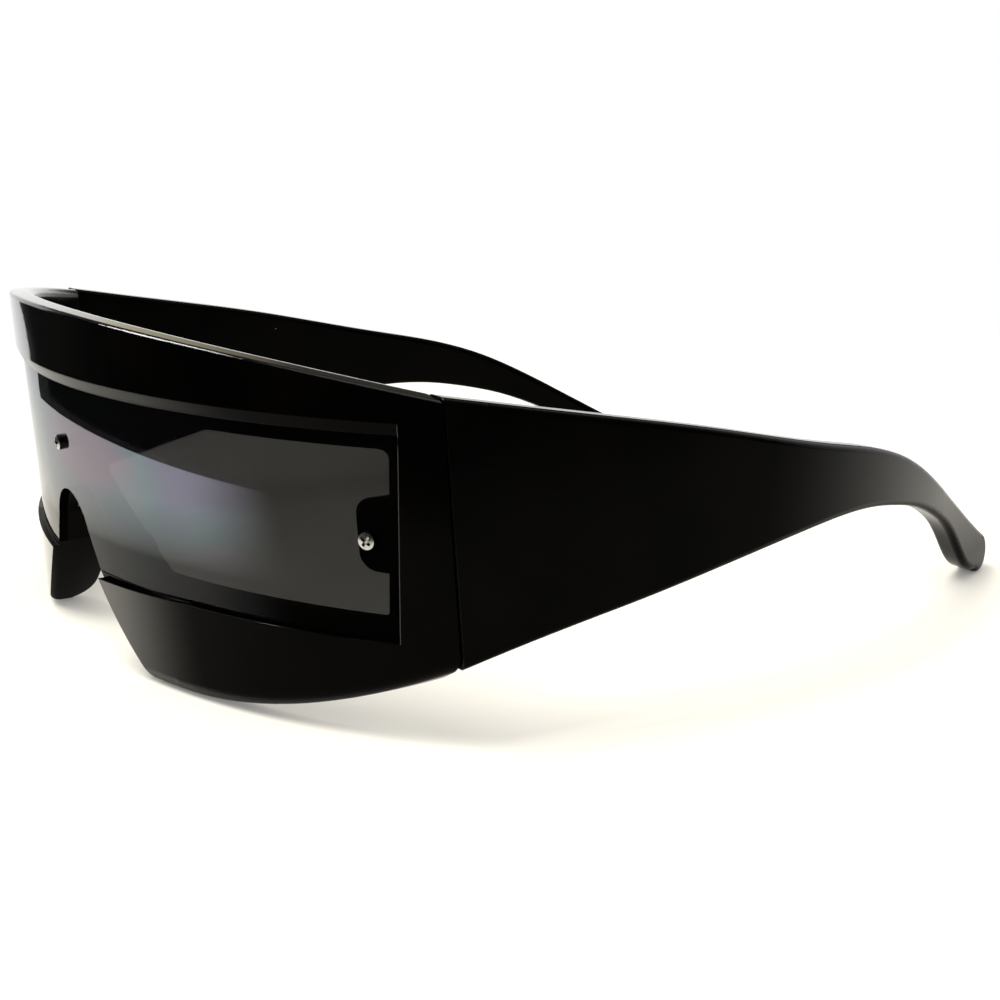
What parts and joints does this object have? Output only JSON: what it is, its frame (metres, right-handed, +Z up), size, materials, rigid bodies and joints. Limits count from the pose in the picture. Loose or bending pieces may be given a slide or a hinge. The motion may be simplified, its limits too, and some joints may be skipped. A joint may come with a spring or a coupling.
{
  "type": "shield sunglasses",
  "caption": "Black wrap shield sunglasses with a one-piece dark lens under a flat brow, wide tapering temples with hooked ends, and temples that fold on hidden hinges.",
  "frame": {"origin": "on the table, under the middle of the open sunglasses' box", "axes": "-Y is the way the wearer looks, +Y back along the temples, +X the wearer's left, +Z up"},
  "size_m": [0.149, 0.1448, 0.0513],
  "materials": {
    "frame_plastic": "polished black",
    "temple_plastic": "polished black",
    "lens_tint": "dark grey tint, polished",
    "screw_steel": "bright plated",
    "hinge_metal": "satin"
  },
  "bodies": {
    "front": {"front_frame": "frame_plastic", "shield_lens": "lens_tint", "lens_screw_center": "screw_steel", "lens_screw_left": "screw_steel", "lens_screw_right": "screw_steel", "hinge_front_leaf_left": "hinge_metal", "hinge_screw_left": "screw_steel", "front_leaf_screw_upper_left": "screw_steel", "front_leaf_screw_lower_left": "screw_steel", "hinge_front_leaf_right": "hinge_metal", "hinge_screw_right": "screw_steel", "front_leaf_screw_upper_right": "screw_steel", "front_leaf_screw_lower_right": "screw_steel"},
    "temple_left": {"temple_left": "temple_plastic", "hinge_temple_leaf_left": "hinge_metal", "temple_leaf_screw_upper_left": "screw_steel", "temple_leaf_screw_lower_left": "screw_steel"},
    "temple_right": {"temple_right": "temple_plastic", "hinge_temple_leaf_right": "hinge_metal", "temple_leaf_screw_upper_right": "screw_steel", "temple_leaf_screw_lower_right": "screw_steel"}
  },
  "joints": [
    {"name": "left_temple_fold", "type": "hinge", "parent": "front", "child": "temple_left", "pos_m": [0.06647, -0.04457, 0.0281], "axis": [0, 0, 1], "range_deg": [0, 78]},
    {"name": "right_temple_fold", "type": "hinge", "parent": "front", "child": "temple_right", "pos_m": [-0.06647, -0.04457, 0.0281], "axis": [0, 0, -1], "range_deg": [0, 65]}
  ]
}
